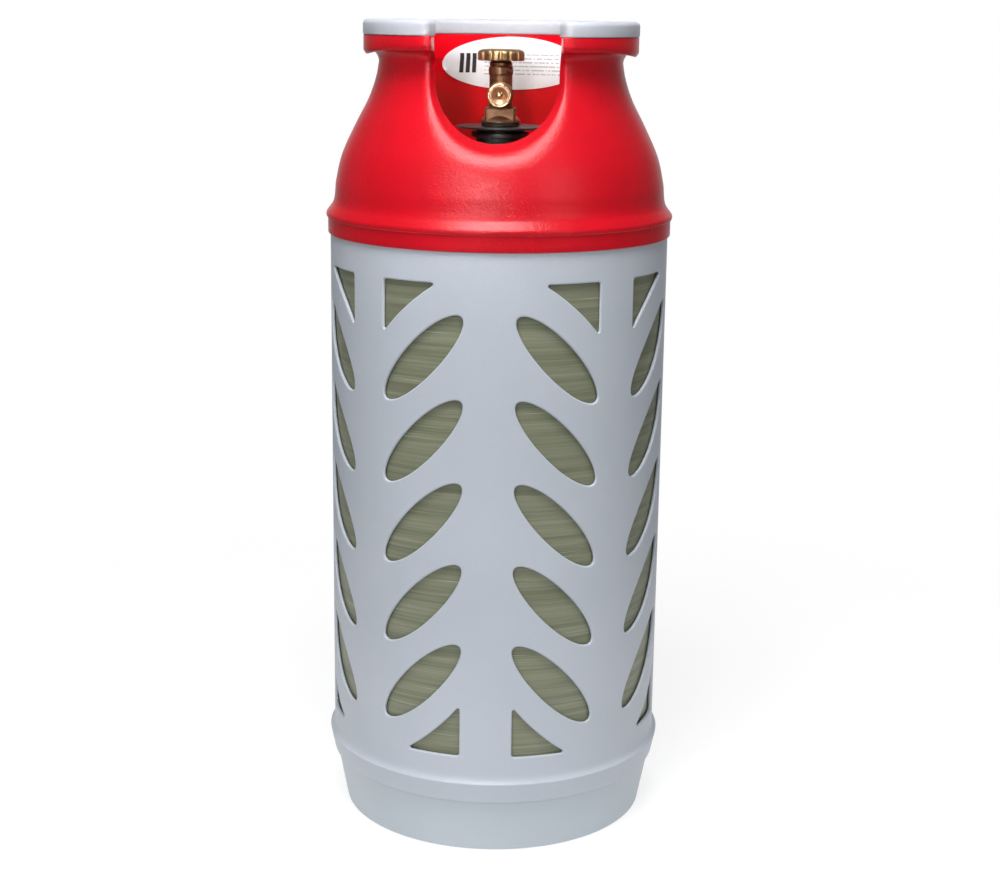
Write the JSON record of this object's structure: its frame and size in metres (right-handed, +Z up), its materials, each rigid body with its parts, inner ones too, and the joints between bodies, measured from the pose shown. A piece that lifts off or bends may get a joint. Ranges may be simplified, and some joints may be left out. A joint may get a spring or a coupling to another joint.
{
  "type": "propane tank",
  "caption": "Upright composite propane cylinder with a windowed grey casing, red open-fronted carrying shroud, grey collar and a brass handwheel valve.",
  "frame": {"origin": "on the floor under the middle of the foot ring", "axes": "+Z up along the cylinder and valve axis, -Y towards the notch and the gas outlet, +X to the right seen from the front"},
  "size_m": [0.3046, 0.3046, 0.709],
  "materials": {
    "casing_grey": "satin moulded polyethylene with a fine grain",
    "casing_red": "bright red moulded polyethylene, semi-gloss",
    "winding": "translucent green glass-fibre and resin winding with fine level strands",
    "liner_white": "natural blow-moulded polyethylene",
    "black_plastic": "black moulded polymer, satin",
    "rubber": "black nitrile rubber",
    "brass": "forged valve brass, darkened, bright on the machined faces",
    "copper": "reddish machined cone",
    "steel": "zinc-plated steel",
    "nylon": "natural nylon",
    "paper": "white film label with plain grey bars"
  },
  "bodies": {
    "cylinder": {"base_cup": "casing_grey", "body_sleeve": "casing_grey", "top_shroud": "casing_red", "collar_ring": "casing_grey", "oval_label": "paper", "composite_shell": "winding", "liner": "liner_white", "neck_boss": "black_plastic", "boss_insert": "brass", "boss_oring": "rubber", "tail_boss": "black_plastic", "valve_washer": "rubber", "valve_body": "brass", "bonnet": "brass", "bonnet_lock_pin": "steel", "thrust_washer": "nylon", "outlet_insert": "copper", "check_spring": "steel"},
    "handwheel": {"handwheel": "brass", "wheel_washer": "steel", "wheel_nut": "steel", "upper_spindle": "brass", "spindle_oring": "rubber"},
    "plug": {"lower_spindle": "brass", "seat_pad": "nylon"},
    "check": {"check_poppet": "brass"}
  },
  "joints": [
    {"name": "handwheel_turn", "type": "hinge", "parent": "cylinder", "child": "handwheel", "pos_m": [0, 0, 0.68], "axis": [0, 0, 1], "range_deg": [0, 630]},
    {"name": "spindle_lift", "type": "slide", "parent": "handwheel", "child": "plug", "axis": [0, 0, 1], "range_m": [0, 0.0035]},
    {"name": "check_slide", "type": "slide", "parent": "cylinder", "child": "check", "axis": [0, 1, 0], "range_m": [0, 0.0025], "stiffness_N_per_m": 120, "springref_m": -0.003, "deforming": ["check_spring"]}
  ],
  "couplings": [
    {"joint": "handwheel_turn", "follows": "spindle_lift", "rad_per_m": 3141.6}
  ]
}
